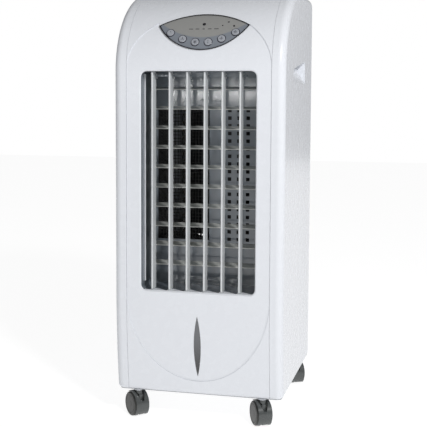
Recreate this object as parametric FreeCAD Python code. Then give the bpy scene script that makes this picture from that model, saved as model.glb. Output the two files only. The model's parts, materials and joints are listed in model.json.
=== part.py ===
import FreeCAD, Part
import math
import os

# Portable evaporative cooler on four twin-wheel casters, in millimetres.
# Frame: origin on the floor under the middle of the cabinet, X to the right as seen from the
# front, the air outlet faces -Y, +Z up. Each function builds one separate physical piece (or
# one set of identical fasteners), and the last section writes every piece to its own file.

V = FreeCAD.Vector

# ---- cabinet ---------------------------------------------------------------------------------
WIDTH = 284.0            # over the side shells
DEPTH = 304.0            # over the front panel and the rear cover
HEIGHT = 720.0           # floor to the flat top
FLOOR_GAP = 47.0         # floor to the underside
WALL = 3.0               # moulded wall
EDGE_R = 12.0            # rounding of the long cabinet edges
FOOT_R = 8.0             # rounding of the lower cabinet edge
CROWN_RISE = 140.0       # height of the quarter-elliptic crown at the front
CROWN_RUN = 168.0        # how far back the crown runs
UNDERCUT = 12.0          # how far the front draws back at its foot
UNDERCUT_RISE = 170.0    # height over which it draws back
REAR_R = 18.0            # rounding at the top of the back
PANEL_HALF = 120.5       # seams between front panel and side shells
REAR_SEAM_Y = 80.0       # seam between the shells and the rear cover
SEAM_GAP = 0.4           # open width of a seam
FIT = 0.3                # gap between neighbouring pieces that are screwed together

FRONT_Y = -DEPTH / 2
BACK_Y = DEPTH / 2
SIDE_X = WIDTH / 2
CROWN_Z = HEIGHT - CROWN_RISE
UNDERCUT_Z = FLOOR_GAP + UNDERCUT_RISE

# ---- front field, grille opening and level window --------------------------------------------
FIELD_DEPTH = 1.2        # the field lies this much below the frame around it
FIELD_HALF = 121.0
FIELD_LOW_Z = 215.0      # centre height of the lower half-ellipse
FIELD_LOW_RISE = 145.0
FIELD_TOP_Z = 584.0      # centre height of the upper half-ellipse
FIELD_TOP_RISE = 94.0
OPEN_HALF = 95.25
OPEN_Z0 = 220.7
OPEN_Z1 = 579.4
OPEN_R = 9.0
OPEN_BEVEL = 2.4
SLIT_Z0 = 78.4
SLIT_Z1 = 180.6
SLIT_WIDTH = 11.4

# ---- controls --------------------------------------------------------------------------------
LENS_X = 4.0             # the lens-shaped control panel sits a little right of the middle
LENS_HALF = 75.7         # half width of the panel
LENS_TIP_Z = 654.5
LENS_TOP_Z = 673.5
LENS_LOW_Z = 613.8
BEZEL_WIDTH = 1.3
BEZEL_PROUD = 0.9
LENS_TIP_STRETCH = 1.6   # how much faster the tips draw in than the middle
BUTTON_R = 6.0
BUTTON_PITCH = 21.6
BUTTON_LOW_Z = 625.9     # height of the row at its middle
BUTTON_END_RISE = 16.2   # how much higher the end buttons sit
BUTTON_THICK = 5.0
BUTTON_PROUD = 1.3
BUTTON_COUNT = 6

# ---- air outlet ------------------------------------------------------------------------------
SLAT_COUNT = 6
SLAT_PITCH = 29.4
SLAT_MID_X = -4.8        # the row sits left of the middle, with the drive side free
SLAT_Y = -136.0          # slat pivots
SLAT_DEPTH = 20.0
SLAT_THICK = 3.0
SLAT_Z0 = 221.6
SLAT_Z1 = 579.0
SLAT_PIN_R = 1.4
SLAT_PIN_REACH = 4.3     # how far the top pins reach into the duct roof
SLAT_DRIVE_REACH = 19.0  # top pin of the last slat, up into the swing motor
SLAT_TAB_Z = 568.5       # underside of the crank tabs
SILL_THICK = 1.9         # toothed bearing sill under the slats
SILL_HALF = 91.3
SILL_TOP_Z = 220.7
VANE_PIN_R = 1.3
PIN_CLEAR = 0.05         # running clearance of every pin
CRANK_PIN_R = 1.2
SLAT_CRANK = 17.0        # pivot to crank pin
VANE_COUNT = 10
VANE_PITCH = 32.7
VANE_TOP_Z = 553.3
VANE_Y = -98.0           # vane pivots
VANE_DEPTH = 20.0
VANE_THICK = 1.8
VANE_HALF = 92.0
VANE_CRANK = 16.0
COMB_FRONT_Y = -130.0    # rounded front edges of the vane combs
VANE_DROOP = 12.0        # degrees that the front of a blade hangs below its crank arm
DUCT_HALF = 99.0
DUCT_Z0 = 216.5
DUCT_Z1 = 583.5
DUCT_WALL = 2.0
DUCT_FRONT_Y = -148.7
DUCT_BACK_Y = -58.0
WINDOW_X0 = -94.0        # outlet window in the back of the duct
WINDOW_X1 = -2.6
WINDOW_Z0 = 294.2
WINDOW_Z1 = 519.0

# ---- air mover -------------------------------------------------------------------------------
FAN_X = 14.0
FAN_Y = 26.0
FAN_R = 65.0
FAN_INNER_R = 52.0
FAN_Z0 = 300.0
FAN_Z1 = 515.0
BLADE_COUNT = 28
SCROLL_R = 78.0
SCROLL_Z0 = 293.0
SCROLL_Z1 = 522.0
SHAFT_R = 4.0
MOTOR_R = 38.0
MOTOR_Z0 = 236.0
MOTOR_Z1 = 284.0

# ---- water side ------------------------------------------------------------------------------
TANK_HALF = 110.0
TANK_Y0 = -126.0
TANK_Z0 = 54.6
TANK_Z1 = 200.0
TANK_WALL = 2.5
CASSETTE_HALF = 105.4
CASSETTE_Z0 = 230.6
CASSETTE_Z1 = 603.4
HOSE_X = 94.0
HOSE_Y = 60.0
HOSE_R = 5.0

# ---- casters ---------------------------------------------------------------------------------
WHEEL_R = 20.5
WHEEL_HALF = 14.0        # half the overall width of the twin wheel
WEB_HALF = 3.0           # half thickness of the web between the wheels
HOOD_R = 22.3
HOOD_HALF = 11.6         # the wheels show beside the hood
HOOD_LOW_Z = 3.5
HOOD_WALL = 1.3
NOTCH_HALF = 8.5         # notch over the web, at the top
NOTCH_DEPTH = 16.0
TRAIL = 6.0              # stem axis to wheel axis
STEM_R = 3.5
SOCKET_NECK_R = 5.0
CASTERS = {              # name: stem x, stem y, heading of the axle in degrees from X
    "fl": (-106.5, -130.3, 45.0),
    "fr": (106.5, -130.3, 31.0),
    "rl": (-122.5, 121.5, -30.0),
    "rr": (122.5, 121.5, 30.0),
}


# ---- helpers ---------------------------------------------------------------------------------
def block(x0, x1, y0, y1, z0, z1):
    """Box between two corners."""
    return Part.makeBox(x1 - x0, y1 - y0, z1 - z0, V(x0, y0, z0))


def rod(start, axis, radius, length):
    """Cylinder from a point along an axis."""
    return Part.makeCylinder(radius, length, V(*start), V(*axis))


def fused(pieces):
    """All pieces joined into one clean solid."""
    return pieces[0].multiFuse(pieces[1:]).removeSplitter()


def rounded_block(x0, x1, y0, y1, z0, z1, radius, along):
    """Box whose four edges parallel to one axis ("x", "y" or "z") are rounded."""
    body = block(x0, x1, y0, y1, z0, z1)
    direction = {"x": V(1, 0, 0), "y": V(0, 1, 0), "z": V(0, 0, 1)}[along]
    edges = [e for e in body.Edges if abs(e.tangentAt(e.FirstParameter).dot(direction)) > 0.99]
    return body.makeFillet(radius, edges)


def crown_y(z, inset=0.0):
    """Y of the front surface at a height on the crown."""
    rise = CROWN_RISE - inset
    share = min(1.0, max(0.0, (z - CROWN_Z) / rise))
    return FRONT_Y + CROWN_RUN - (CROWN_RUN - inset) * math.sqrt(1.0 - share * share)


def crown_normal(z):
    """Outward normal of the crown at a height."""
    y = crown_y(z) - (FRONT_Y + CROWN_RUN)
    normal = V(0, y / CROWN_RUN ** 2, (z - CROWN_Z) / CROWN_RISE ** 2)
    return normal.normalize()


def shorter_arc(ellipse, start, end):
    """The shorter of the two arcs of an ellipse between two of its points."""
    low, high = sorted((ellipse.parameter(start), ellipse.parameter(end)))
    if high - low > math.pi:
        low, high = high, low + 2 * math.pi
    return Part.ArcOfEllipse(ellipse, low, high).toShape()


def side_outline(inset, foot_z):
    """Closed side view of the cabinet in the YZ plane, drawn in by a wall thickness."""
    front = FRONT_Y + inset
    back = BACK_Y - inset
    top = HEIGHT - inset
    sweep_r = (UNDERCUT_RISE ** 2 + UNDERCUT ** 2) / (2 * UNDERCUT)
    centre = V(0, FRONT_Y + sweep_r, UNDERCUT_Z)
    radius = sweep_r - inset

    def on_sweep(z):
        return V(0, centre.y - math.sqrt(radius ** 2 - (z - centre.z) ** 2), z)

    foot = on_sweep(foot_z)
    knee = V(0, front, UNDERCUT_Z)
    spring = V(0, front, CROWN_Z)
    crest = V(0, FRONT_Y + CROWN_RUN, top)
    crown = Part.Ellipse(spring, crest, V(0, FRONT_Y + CROWN_RUN, CROWN_Z))
    crown_edge = shorter_arc(crown, spring, crest)
    rear_r = REAR_R - inset
    rear_top = V(0, back - rear_r, top)
    rear_mid = V(0, back - rear_r + rear_r * math.sin(math.pi / 4),
                 top - rear_r + rear_r * math.cos(math.pi / 4))
    rear_side = V(0, back, top - rear_r)
    rear_foot = V(0, back, foot_z)
    edges = [
        Part.Arc(foot, on_sweep((foot_z + UNDERCUT_Z) / 2), knee).toShape(),
        Part.LineSegment(knee, spring).toShape(),
        crown_edge,
        Part.LineSegment(crest, rear_top).toShape(),
        Part.Arc(rear_top, rear_mid, rear_side).toShape(),
        Part.LineSegment(rear_side, rear_foot).toShape(),
        Part.LineSegment(rear_foot, foot).toShape(),
    ]
    return Part.Face(Part.Wire(Part.__sortEdges__(edges)))


def cabinet_form(inset, foot_z=FLOOR_GAP):
    """The cabinet's rounded outer form, drawn in on every side by a wall thickness."""
    half = SIDE_X - inset
    face = side_outline(inset, foot_z)
    face.translate(V(-half, 0, 0))
    form = face.extrude(V(2 * half, 0, 0))
    long_edges = []
    for edge in form.Edges:
        box = edge.BoundBox
        on_side = box.XLength < 0.01
        at_foot = box.ZMax < foot_z + 0.01
        if on_side and not at_foot:
            long_edges.append(edge)
    return form.makeFillet(EDGE_R - inset, long_edges)


def outer_form():
    """Outer cabinet form with its lower edge rounded."""
    form = cabinet_form(0.0)
    foot_edges = [e for e in form.Edges if e.BoundBox.ZMax < FLOOR_GAP + 0.01]
    return form.makeFillet(FOOT_R, foot_edges)


def prism(edges, y0, y1):
    """Closed outline in the XZ plane, extruded from y0 to y1."""
    face = Part.Face(Part.Wire(Part.__sortEdges__(edges)))
    face.translate(V(0, y0, 0))
    return face.extrude(V(0, y1 - y0, 0))


def arc_xz(a, b, c):
    """Arc through three (x, z) points."""
    return Part.Arc(V(a[0], 0, a[1]), V(b[0], 0, b[1]), V(c[0], 0, c[1])).toShape()


def half_ellipse(half, centre_z, rise, up):
    """Upper or lower half of an ellipse centred on X = 0 in the XZ plane."""
    centre = V(0, 0, centre_z)
    tip = V(0, 0, centre_z + (rise if up else -rise))
    side = V(half, 0, centre_z)
    if rise >= half:
        ellipse = Part.Ellipse(tip, side, centre)
    else:
        ellipse = Part.Ellipse(side, tip, centre)
    a = ellipse.parameter(V(-half, 0, centre_z))
    b = ellipse.parameter(side)
    t = ellipse.parameter(tip)
    low, high = min(a, b), max(a, b)
    if not low < t < high:
        low, high = high, low + 2 * math.pi
    return Part.ArcOfEllipse(ellipse, low, high).toShape()


def field_outline():
    """Outline of the slightly sunk middle field of the front."""
    low = half_ellipse(FIELD_HALF, FIELD_LOW_Z, FIELD_LOW_RISE, False)
    high = half_ellipse(FIELD_HALF, FIELD_TOP_Z, FIELD_TOP_RISE, True)
    sides = [Part.LineSegment(V(x, 0, FIELD_LOW_Z), V(x, 0, FIELD_TOP_Z)).toShape()
             for x in (-FIELD_HALF, FIELD_HALF)]
    return [low, high] + sides


def lens_prism(shrink, y0=-170.0, y1=-60.0):
    """Prism with the lens outline of the control panel, drawn in evenly."""
    half = LENS_HALF - shrink * LENS_TIP_STRETCH
    left = (LENS_X - half, LENS_TIP_Z)
    right = (LENS_X + half, LENS_TIP_Z)
    arcs = [arc_xz(left, (LENS_X, z), right) for z in (LENS_TOP_Z - shrink, LENS_LOW_Z + shrink)]
    return prism(arcs, y0, y1)


def slit_prism(grow, y0, y1):
    """Prism with the pointed outline of the level window."""
    middle = (SLIT_Z0 + SLIT_Z1) / 2
    half = SLIT_WIDTH / 2 + grow
    low = (0, SLIT_Z0 - 3 * grow)
    high = (0, SLIT_Z1 + 3 * grow)
    return prism([arc_xz(low, (-half, middle), high), arc_xz(low, (half, middle), high)], y0, y1)


def opening_block(grow, y0, y1):
    """Rounded block with the outline of the grille opening."""
    return rounded_block(-OPEN_HALF - grow, OPEN_HALF + grow, y0, y1,
                         OPEN_Z0 - grow, OPEN_Z1 + grow, OPEN_R + grow, "y")


def slat_x(index):
    """X of a slat pivot."""
    return SLAT_MID_X + (index - (SLAT_COUNT - 1) / 2) * SLAT_PITCH


def vane_z(index):
    """Z of a vane pivot."""
    return VANE_TOP_Z - index * VANE_PITCH


def button_place(index):
    """Centre of a button on the crown, and the crown's normal there."""
    along = (index - (BUTTON_COUNT - 1) / 2) * BUTTON_PITCH
    end = (BUTTON_COUNT - 1) / 2 * BUTTON_PITCH
    z = BUTTON_LOW_Z + BUTTON_END_RISE * (along / end) ** 2
    return V(LENS_X + along, crown_y(z), z), crown_normal(z)


# ---- casing ----------------------------------------------------------------------------------
OUTER = outer_form()
SKIN = OUTER.cut(cabinet_form(WALL, FLOOR_GAP - 5))
BIG = 400.0


def front_panel():
    """Fascia with its sunk field, bevelled grille opening, level slit and control cut-out."""
    half = PANEL_HALF - SEAM_GAP / 2
    panel = SKIN.common(block(-half, half, -BIG, REAR_SEAM_Y - SEAM_GAP / 2, 0, 800))
    field = OUTER.cut(cabinet_form(FIELD_DEPTH, FLOOR_GAP - 5)).common(prism(field_outline(), -200, 10))
    field = field.cut(block(LENS_X - LENS_HALF, LENS_X + LENS_HALF, -200, 10, LENS_TIP_Z, HEIGHT))
    panel = panel.cut(field)
    rim_y = FRONT_Y + FIELD_DEPTH
    wide = opening_block(OPEN_BEVEL, -200, rim_y)
    panel = panel.cut(opening_block(0.0, -200, -100))
    bevel_wires = []
    for grow, y in ((OPEN_BEVEL, rim_y), (0.0, rim_y + OPEN_BEVEL)):
        ring = opening_block(grow, y, y + 1.0)
        face = min(ring.Faces, key=lambda f: f.CenterOfMass.y)
        bevel_wires.append(face.OuterWire)
    bevel = Part.makeLoft(bevel_wires, True)
    panel = panel.cut(bevel).cut(wide)
    panel = panel.cut(slit_prism(FIT, -200, -100))
    return panel.cut(lens_prism(-FIT / 3))


GRIP_Y0 = -68.0          # finger grip: front and rear ends
GRIP_Y1 = 58.0
GRIP_Z0 = 563.0          # its level lower edge
GRIP_FRONT_Z = 586.0     # its upper edge rises from the front end
GRIP_REAR_Z = 603.0      # to the rear end
GRIP_DEPTH = 15.0
GRIP_RUN = 20.0          # how far in the sloping floor would reach at the rear end's height
GRIP_WALL = 2.0


def grip_block(sign, grow, x_in, x_out):
    """Rounded block with the grip's slanting outline, between two distances from the middle."""
    y0, y1 = GRIP_Y0 - grow, GRIP_Y1 + grow
    corners = [V(0, y0, GRIP_Z0 - grow), V(0, y1, GRIP_Z0 - grow),
               V(0, y1, GRIP_REAR_Z + grow), V(0, y0, GRIP_FRONT_Z + grow)]
    face = Part.Face(Part.makePolygon(corners + [corners[0]]))
    face.translate(V(min(sign * x_in, sign * x_out), 0, 0))
    body = face.extrude(V(x_out - x_in, 0, 0))
    edges = [e for e in body.Edges if e.BoundBox.YLength < 0.01 and e.BoundBox.ZLength < 0.01]
    return body.makeFillet(7.0 + grow, edges)


def over_scoop(sign, drop):
    """Everything above the grip's floor, which slopes up from the skin to the inner end."""
    profile = [(SIDE_X + 10, GRIP_Z0 - drop), (SIDE_X, GRIP_Z0 - drop),
               (SIDE_X - GRIP_RUN, GRIP_REAR_Z - drop), (SIDE_X - GRIP_RUN, 700), (SIDE_X + 10, 700)]
    points = [V(sign * x, -100, z) for x, z in profile]
    return Part.Face(Part.makePolygon(points + [points[0]])).extrude(V(0, 200, 0))


def side_shell(sign):
    """Side shell with its scooped finger grip; sign is -1 for left and +1 for right."""
    seam = PANEL_HALF + SEAM_GAP / 2
    span = sorted((sign * seam, sign * BIG))
    shell = SKIN.common(block(span[0], span[1], -BIG, REAR_SEAM_Y - SEAM_GAP / 2, 0, 800))
    cup = grip_block(sign, GRIP_WALL, SIDE_X - GRIP_DEPTH - GRIP_WALL, SIDE_X - 1)
    cup = cup.common(over_scoop(sign, GRIP_WALL * 2))
    hollow = grip_block(sign, 0.0, SIDE_X - GRIP_DEPTH, SIDE_X + 5).common(over_scoop(sign, 0.0))
    return shell.fuse(cup).cut(hollow)


TANK_OPEN_Z = 204.0
TANK_FACE_HALF = 112.0
REAR_OPEN_HALF = 106.0
REAR_OPEN_Z0 = 230.0
REAR_OPEN_Z1 = 604.0
GLAND_X = -80.0
GLAND_Z = 217.0
GLAND_R = 5.0
SCREW_R = 3.0


def screw_places():
    """Centres of the rear cover's screws in the XZ plane."""
    return [(x, z) for x in (-122.0, 122.0) for z in (80.0, 217.0, 420.0, 640.0)]


def rear_cover():
    """Back frame with the cassette opening, the tank opening and the gland hole."""
    cover = SKIN.common(block(-BIG, BIG, REAR_SEAM_Y + SEAM_GAP / 2, BIG, 0, 800))
    cover = cover.cut(block(-REAR_OPEN_HALF, REAR_OPEN_HALF, 100, 200, REAR_OPEN_Z0, REAR_OPEN_Z1))
    cover = cover.cut(block(-TANK_FACE_HALF - 0.5, TANK_FACE_HALF + 0.5, 100, 200,
                            TANK_Z0 - 1.0, TANK_OPEN_Z))
    cover = cover.cut(rod((GLAND_X, 100, GLAND_Z), (0, 1, 0), GLAND_R, 100))
    for x, z in screw_places():
        cover = cover.cut(rod((x, BACK_Y - 1.6, z), (0, 1, 0), SCREW_R + FIT, 10))
    return cover


def case_screws():
    """Pan-head screws of the rear cover, a set of identical fasteners."""
    screws = []
    for x, z in screw_places():
        head = rod((x, BACK_Y - 1.5, z), (0, 1, 0), SCREW_R, 1.2)
        slot_a = block(x - 2, x + 2, BACK_Y - 0.8, BACK_Y, z - 0.4, z + 0.4)
        slot_b = block(x - 0.4, x + 0.4, BACK_Y - 0.8, BACK_Y, z - 2, z + 2)
        screws.append(head.cut(slot_a).cut(slot_b))
    return Part.makeCompound(screws)


def base_pan():
    """Bottom tray of the cabinet with the tank's two rails and the caster holes."""
    form = cabinet_form(WALL + FIT, FLOOR_GAP)
    tray = form.common(block(-BIG, BIG, -BIG, BIG, FLOOR_GAP, FLOOR_GAP + 14))
    well = cabinet_form(WALL + FIT + 2.2, FLOOR_GAP).common(
        block(-BIG, BIG, -BIG, BIG, FLOOR_GAP + 3, FLOOR_GAP + 14))
    tray = tray.cut(well)
    tray = tray.cut(block(-TANK_FACE_HALF - 0.5, TANK_FACE_HALF + 0.5, 100, 200,
                          FLOOR_GAP + 3, FLOOR_GAP + 20))
    rails = [block(x - 2, x + 2, -110, 140, FLOOR_GAP + 2.5, TANK_Z0 - 0.3) for x in (-60, 60)]
    tray = fused([tray] + rails)
    for x, y, _ in CASTERS.values():
        tray = tray.cut(rod((x, y, FLOOR_GAP - 1), (0, 0, 1), SOCKET_NECK_R + 0.2, 8))
    return tray


def caster_sockets():
    """Four white sockets that hold the caster stems."""
    sockets = []
    for x, y, _ in CASTERS.values():
        dome = Part.makeCone(6.5, 9.0, 2.4, V(x, y, FLOOR_GAP - 2.5), V(0, 0, 1))
        neck = rod((x, y, FLOOR_GAP - 0.3), (0, 0, 1), SOCKET_NECK_R, 7.0)
        bore = rod((x, y, FLOOR_GAP - 5), (0, 0, 1), STEM_R + PIN_CLEAR, 9.5)
        sockets.append(dome.fuse(neck).cut(bore).removeSplitter())
    return Part.makeCompound(sockets)


def level_window():
    """Smoked lens that closes the level slit."""
    lens = slit_prism(0.0, -200, -100)
    return lens.common(cabinet_form(FIELD_DEPTH + 0.5, FLOOR_GAP - 5).cut(
        cabinet_form(WALL + 0.8, FLOOR_GAP - 5)))


# ---- controls --------------------------------------------------------------------------------
def crown_layer(outer_inset, inner_inset):
    """Layer that follows the crown between two depths below its surface."""
    layer = cabinet_form(outer_inset, FLOOR_GAP).cut(cabinet_form(inner_inset, FLOOR_GAP - 5))
    return layer.common(block(-BIG, BIG, -BIG, -60, 600, 700))


def control_bezel():
    """Raised lens-shaped ring around the controls."""
    return crown_layer(-BEZEL_PROUD, WALL - 0.2).common(lens_prism(0.0)).cut(lens_prism(BEZEL_WIDTH))


def control_face():
    """Plate inside the bezel, with a hole for each button."""
    plate = crown_layer(0.2, WALL - 0.2).common(lens_prism(BEZEL_WIDTH + 0.1))
    for index in range(BUTTON_COUNT):
        centre, normal = button_place(index)
        start = centre - normal * 15
        plate = plate.cut(Part.makeCylinder(BUTTON_R + FIT, 30, start, normal))
    return plate


def button(index):
    """Round push button with a softened rim."""
    centre, normal = button_place(index)
    base = centre + normal * (BUTTON_PROUD - BUTTON_THICK)
    body = Part.makeCylinder(BUTTON_R, BUTTON_THICK, base, normal)
    rim = max(body.Edges, key=lambda e: (e.BoundBox.Center - base).dot(normal))
    return body.makeFillet(0.8, [rim])


def control_board():
    """Circuit board on its carrier behind the controls."""
    board = block(-62, 62, -112, -110.4, 606, 656)
    chips = [block(x, x + 9, -110.5, -107, 618, 630) for x in (-40, -10, 22)]
    return fused([board] + chips)


# ---- air outlet ------------------------------------------------------------------------------
def slat(index):
    """Upright slat with pivot pins, crank tab and crank pin."""
    x = slat_x(index)
    blade = rounded_block(x - SLAT_THICK / 2, x + SLAT_THICK / 2, SLAT_Y - SLAT_DEPTH / 2,
                          SLAT_Y + SLAT_DEPTH / 2, SLAT_Z0, SLAT_Z1, 1.4, "z")
    notch = block(x - 3, x + 3, SLAT_Y + 6, SLAT_Y + 20, SLAT_TAB_Z + 2.5, SLAT_Z1 + 1)
    pin_y = SLAT_Y + SLAT_CRANK
    tab = block(x - 1.2, x + 1.2, SLAT_Y + 5, pin_y + 1.2, SLAT_TAB_Z, SLAT_TAB_Z + 2.5)
    crank_pin = rod((x, pin_y, SLAT_TAB_Z + 2.0), (0, 0, 1), CRANK_PIN_R, 6.0)
    reach = SLAT_DRIVE_REACH if index == SLAT_COUNT - 1 else SLAT_PIN_REACH
    pins = [rod((x, SLAT_Y, SLAT_Z0 + 1), (0, 0, -1), SLAT_PIN_R, 1 + SLAT_Z0 - SILL_TOP_Z + SILL_THICK),
            rod((x, SLAT_Y, SLAT_Z1 - 1), (0, 0, 1), SLAT_PIN_R, reach + 1)]
    return fused([blade.cut(notch), tab, crank_pin] + pins)


def slat_sill():
    """Sill with a saw-toothed rear edge that carries the feet of the slats."""
    tooth_y = SLAT_Y + 4.5
    root_y = DUCT_FRONT_Y + 1.5
    outline = [V(-SILL_HALF, DUCT_FRONT_Y, 0), V(-SILL_HALF, tooth_y - 9.2, 0)]
    for index in range(SLAT_COUNT):
        x = slat_x(index)
        outline += [V(x - 4.0, root_y, 0), V(x - 4.0, tooth_y, 0), V(x + 3.5, tooth_y, 0)]
    outline += [V(SILL_HALF, root_y + 2.0, 0), V(SILL_HALF, DUCT_FRONT_Y, 0)]
    sill = Part.Face(Part.makePolygon(outline + [outline[0]])).extrude(V(0, 0, SILL_THICK))
    sill.translate(V(0, 0, SILL_TOP_Z - SILL_THICK))
    for index in range(SLAT_COUNT):
        sill = sill.cut(rod((slat_x(index), SLAT_Y, SILL_TOP_Z - 5), (0, 0, 1), SLAT_PIN_R + PIN_CLEAR, 10))
    return sill


def slat_link_bar():
    """Bar that joins the slat crank pins."""
    y = SLAT_Y + SLAT_CRANK
    z0 = SLAT_TAB_Z + 3.3
    bar = rounded_block(slat_x(0) - 6, slat_x(SLAT_COUNT - 1) + 6, y - 3.2, y + 3.2, z0, z0 + 3, 1.4, "z")
    for index in range(SLAT_COUNT):
        bar = bar.cut(rod((slat_x(index), y, z0 - 1), (0, 0, 1), CRANK_PIN_R + PIN_CLEAR, 5))
    return bar


def vane(index):
    """Level vane with end pins, crank tab and crank pin."""
    z = vane_z(index)
    blade = rounded_block(-VANE_HALF, VANE_HALF, VANE_Y - VANE_DEPTH / 2, VANE_Y + VANE_DEPTH / 2,
                          z - VANE_THICK / 2, z + VANE_THICK / 2, 0.85, "x")
    blade = blade.cut(block(83.2, 100, VANE_Y + 5, VANE_Y + 20, z - 3, z + 3))
    blade.rotate(V(0, VANE_Y, z), V(1, 0, 0), VANE_DROOP)
    pin_y = VANE_Y + VANE_CRANK
    tab = block(81, 83, VANE_Y + 4, pin_y + 1.2, z - 1.1, z + 1.1)
    crank_pin = rod((82.5, pin_y, z), (1, 0, 0), CRANK_PIN_R, 5.0)
    pins = [rod((side * (VANE_HALF - 1), VANE_Y, z), (side, 0, 0), VANE_PIN_R, 5.4) for side in (-1, 1)]
    return fused([blade, tab, crank_pin] + pins)


def vane_combs():
    """Left and right bearing combs of the vanes, each with a rounded front edge."""
    combs = []
    for side in (-1, 1):
        low, high = sorted((side * 94.3, side * 96.7))
        comb = block(low, high, COMB_FRONT_Y, VANE_Y + 10, 232, 576)
        nose = [e for e in comb.Edges if e.BoundBox.YMax < COMB_FRONT_Y + 0.1 and e.BoundBox.ZLength > 100]
        comb = comb.makeFillet(1.1, nose)
        for index in range(VANE_COUNT):
            start = (side * 90, VANE_Y, vane_z(index))
            comb = comb.cut(rod(start, (side, 0, 0), VANE_PIN_R + PIN_CLEAR, 10))
        combs.append(comb)
    return Part.makeCompound(combs)


def vane_link_bar():
    """Upright bar that joins the vane crank pins."""
    y = VANE_Y + VANE_CRANK
    bar = rounded_block(83.7, 86.5, y - 3.2, y + 3.2, vane_z(VANE_COUNT - 1) - 6, VANE_TOP_Z + 6,
                        1.3, "x")
    for index in range(VANE_COUNT):
        bar = bar.cut(rod((82, y, vane_z(index)), (1, 0, 0), CRANK_PIN_R + PIN_CLEAR, 8))
    return bar


def swing_motor():
    """Geared swing motor that turns the last slat."""
    x = slat_x(SLAT_COUNT - 1)
    body = rod((x, SLAT_Y, DUCT_Z1 + 1.0), (0, 0, 1), 10.5, 14)
    lid = rod((x, SLAT_Y, DUCT_Z1 + 15.0), (0, 0, 1), 8.0, 2)
    ears = rounded_block(x - 14, x + 14, SLAT_Y - 3.5, SLAT_Y + 3.5, DUCT_Z1 + 1.0, DUCT_Z1 + 2.4, 3, "z")
    motor = fused([body, lid, ears])
    return motor.cut(rod((x, SLAT_Y, DUCT_Z1), (0, 0, 1), SLAT_PIN_R + PIN_CLEAR, 15))


HOLE_SIDE = 6.0
HOLE_PITCH_Z = 12.94
HOLE_COLUMNS = (32.6, 48.5, 64.3)
HOLE_ROWS = 18


def air_duct():
    """Dark liner behind the grille with the outlet window and the perforated side."""
    duct = rounded_block(-DUCT_HALF, DUCT_HALF, DUCT_FRONT_Y, DUCT_BACK_Y, DUCT_Z0, DUCT_Z1, 8, "y")
    inner = rounded_block(-DUCT_HALF + DUCT_WALL, DUCT_HALF - DUCT_WALL, DUCT_FRONT_Y - 1,
                          DUCT_BACK_Y - DUCT_WALL, DUCT_Z0 + DUCT_WALL, DUCT_Z1 - DUCT_WALL, 6, "y")
    duct = duct.cut(inner)
    for index in range(SLAT_COUNT):
        duct = duct.fuse(rod((slat_x(index), SLAT_Y, SLAT_Z1 + 1.0), (0, 0, 1), 3.5, 3.0))
        duct = duct.cut(rod((slat_x(index), SLAT_Y, SLAT_Z1), (0, 0, 1), SLAT_PIN_R + PIN_CLEAR, 10))
    duct = duct.cut(block(WINDOW_X0, WINDOW_X1, DUCT_BACK_Y - 5, DUCT_BACK_Y + 5, WINDOW_Z0, WINDOW_Z1))
    middle = (WINDOW_Z0 + WINDOW_Z1) / 2
    holes = []
    for x in HOLE_COLUMNS:
        for row in range(HOLE_ROWS):
            z = middle + (row - (HOLE_ROWS - 1) / 2) * HOLE_PITCH_Z
            holes.append(block(x - HOLE_SIDE / 2, x + HOLE_SIDE / 2, DUCT_BACK_Y - 5, DUCT_BACK_Y + 5,
                               z - HOLE_SIDE / 2, z + HOLE_SIDE / 2))
    return duct.cut(Part.makeCompound(holes))


def outlet_guard():
    """Wire guard across the outlet window."""
    y0 = DUCT_BACK_Y + 0.3
    frame = block(WINDOW_X0 - 3, WINDOW_X1 + 3, y0, y0 + 2, WINDOW_Z0 - 3, WINDOW_Z1 + 3)
    frame = frame.cut(block(WINDOW_X0, WINDOW_X1, y0 - 1, y0 + 3, WINDOW_Z0, WINDOW_Z1))
    bars = []
    columns, rows = 8, 18
    for i in range(1, columns):
        x = WINDOW_X0 + (WINDOW_X1 - WINDOW_X0) * i / columns
        bars.append(block(x - 0.5, x + 0.5, y0, y0 + 1.2, WINDOW_Z0 - 1, WINDOW_Z1 + 1))
    for i in range(1, rows):
        z = WINDOW_Z0 + (WINDOW_Z1 - WINDOW_Z0) * i / rows
        bars.append(block(WINDOW_X0 - 1, WINDOW_X1 + 1, y0 + 0.8, y0 + 1.8, z - 0.5, z + 0.5))
    return fused([frame] + bars)


# ---- air mover -------------------------------------------------------------------------------
def volute_housing():
    """Scroll housing of the blower, open to the outlet window and at both inlets."""
    outlet_y = DUCT_BACK_Y + 2.6
    wall = 2.0

    def form(inset):
        drum = rod((FAN_X, FAN_Y, SCROLL_Z0 + inset), (0, 0, 1), SCROLL_R - inset,
                   SCROLL_Z1 - SCROLL_Z0 - 2 * inset)
        throat = block(-95 + inset, 2 - inset, outlet_y - inset, FAN_Y, SCROLL_Z0 + inset,
                       SCROLL_Z1 - inset)
        return drum.fuse(throat)

    housing = form(0.0).cut(form(wall))
    housing = housing.cut(rod((FAN_X, FAN_Y, SCROLL_Z0 - 5), (0, 0, 1), 58, SCROLL_Z1 - SCROLL_Z0 + 10))
    arms = []
    for turn in range(3):
        arm = block(36, 62, -4, 4, SCROLL_Z0 - 4.5, SCROLL_Z0 - 1.0)
        arm = arm.fuse(block(59, 64, -4, 4, SCROLL_Z0 - 4.5, SCROLL_Z0 + 1.0))
        arm.rotate(V(0, 0, 0), V(0, 0, 1), 90 + 120 * turn)
        arm.translate(V(FAN_X, FAN_Y, 0))
        arms.append(arm)
    ring = rod((FAN_X, FAN_Y, SCROLL_Z0 - 4.5), (0, 0, 1), 41, 3.5).cut(
        rod((FAN_X, FAN_Y, SCROLL_Z0 - 6), (0, 0, 1), 30, 8))
    return fused([housing, ring] + arms)


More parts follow.
